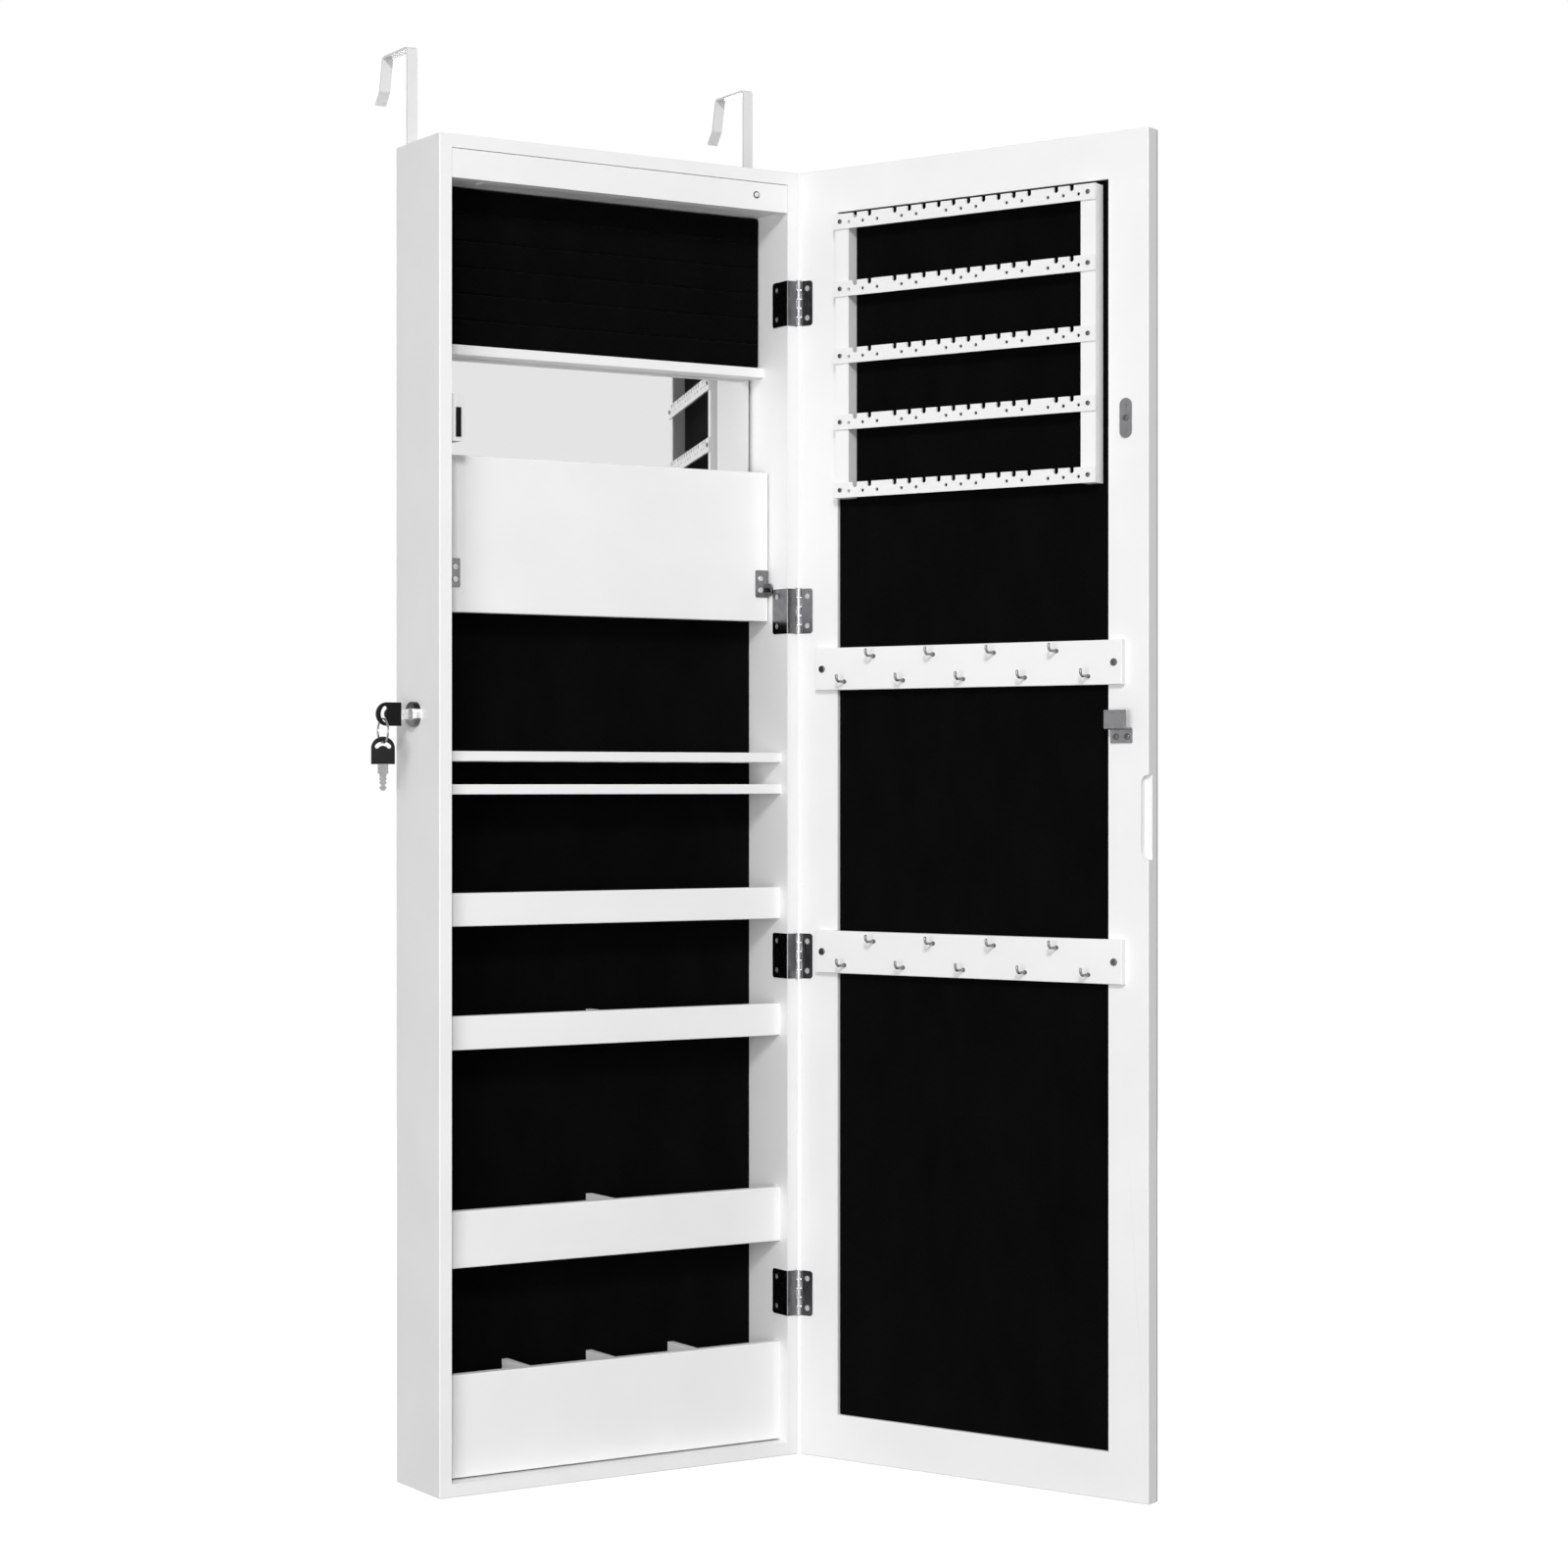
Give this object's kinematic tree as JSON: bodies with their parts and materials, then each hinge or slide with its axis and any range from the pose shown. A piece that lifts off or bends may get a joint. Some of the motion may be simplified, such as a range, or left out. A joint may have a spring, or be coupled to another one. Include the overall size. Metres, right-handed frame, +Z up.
{
  "type": "jewelry armoire",
  "caption": "Slim over-door jewelry cabinet with a hinged mirrored door, velvet lining, earring and necklace racks, ring cushion, trays, fold-down flap and a cam lock.",
  "frame": {"origin": "where the top front edge of the room door runs: half way across the cabinet, on the plane of its back edges, at the underside of the over-door hooks", "axes": "+Z up, the cabinet's front faces -Y, +X to the right as seen from the front"},
  "size_m": [0.5709, 0.4894, 1.29],
  "materials": {
    "painted_board": "satin white paint on fibreboard",
    "back_board": "white faced hardboard",
    "velvet": "black flocked velvet",
    "mirror_glass": "silvered float glass",
    "white_plastic": "moulded, satin",
    "lamp_cover": "frosted",
    "circuit_board": "white solder mask",
    "black_plastic": "moulded",
    "grey_plastic": "moulded",
    "strap_steel": "white powder coat",
    "nickel_steel": "nickel plated",
    "screw_steel": "zinc plated",
    "lock_chrome": "polished",
    "key_steel": "nickel plated",
    "ferrite": "matt black"
  },
  "bodies": {
    "cabinet": {"side_panel_left": "painted_board", "side_panel_right": "painted_board", "top_panel": "painted_board", "bottom_panel": "painted_board", "light_fascia": "painted_board", "light_box_floor": "painted_board", "ring_shelf": "painted_board", "lipstick_rack_upper": "painted_board", "lipstick_rack_lower": "painted_board", "tray_upper_front": "painted_board", "tray_middle_front": "painted_board", "tray_lower_front": "painted_board", "tray_floors": "painted_board", "tray_dividers": "painted_board", "bin_front": "painted_board", "bin_dividers": "painted_board", "back_panel": "back_board", "back_lining": "velvet", "ring_pad": "velvet", "inner_mirror": "mirror_glass", "battery_cover": "white_plastic", "led_diffuser": "lamp_cover", "led_strip": "circuit_board", "battery_box": "black_plastic", "switch_body": "black_plastic", "flap_pivots": "black_plastic", "catch_body": "grey_plastic", "flap_stops": "grey_plastic", "over_door_hook_left": "strap_steel", "over_door_hook_right": "strap_steel", "hinge_cabinet_leaves": "nickel_steel", "hinge_pins": "nickel_steel", "lock_nut": "nickel_steel", "cabinet_screws": "screw_steel", "lock_body": "lock_chrome", "catch_magnet": "ferrite"},
    "door": {"door_frame": "painted_board", "door_lining": "velvet", "door_mirror": "mirror_glass", "earring_posts": "painted_board", "earring_bars": "white_plastic", "hook_bars": "painted_board", "jewelry_hooks": "screw_steel", "hinge_door_leaves": "nickel_steel", "strike_plate": "nickel_steel", "lock_keep": "nickel_steel", "door_screws": "screw_steel"},
    "flap": {"flap_panel": "painted_board", "flap_brackets": "nickel_steel", "flap_bracket_screws": "screw_steel"},
    "lock": {"lock_plug": "lock_chrome", "lock_cam": "nickel_steel", "cam_screw": "screw_steel"},
    "key": {"key_blade": "key_steel", "key_bow": "black_plastic"},
    "ring": {"key_ring": "key_steel"},
    "spare_key": {"spare_key_blade": "key_steel", "spare_key_bow": "black_plastic"},
    "plunger": {"switch_plunger": "grey_plastic"}
  },
  "joints": [
    {"name": "door_swing", "type": "hinge", "parent": "cabinet", "child": "door", "pos_m": [0.18625, -0.089, -0.688], "axis": [0, 0, 1], "range_deg": [-112, 58]},
    {"name": "flap_fold", "type": "hinge", "parent": "cabinet", "child": "flap", "pos_m": [0, -0.058, -0.4775], "axis": [1, 0, 0], "range_deg": [0, 90]},
    {"name": "lock_turn", "type": "hinge", "parent": "cabinet", "child": "lock", "pos_m": [-0.18625, -0.04, -0.5983], "axis": [1, 0, 0], "range_deg": [0, 90]},
    {"name": "key_pull", "type": "slide", "parent": "lock", "child": "key", "axis": [-1, 0, 0], "range_m": [0, 0.03]},
    {"name": "ring_hang", "type": "hinge", "parent": "key", "child": "ring", "pos_m": [-0.21805, -0.04, -0.6058], "axis": [1, 0, 0], "range_deg": [-90, 0]},
    {"name": "spare_key_swing", "type": "hinge", "parent": "ring", "child": "spare_key", "pos_m": [-0.21805, -0.04, -0.6238], "axis": [0, 1, 0], "range_deg": [-25, 25]},
    {"name": "switch_press", "type": "slide", "parent": "cabinet", "child": "plunger", "axis": [0, 1, 0], "range_m": [0, 0.0017], "stiffness_N_per_m": 200, "springref_m": -0.002}
  ],
  "couplings": [
    {"joint": "ring_hang", "follows": "lock_turn", "ratio": -1}
  ]
}
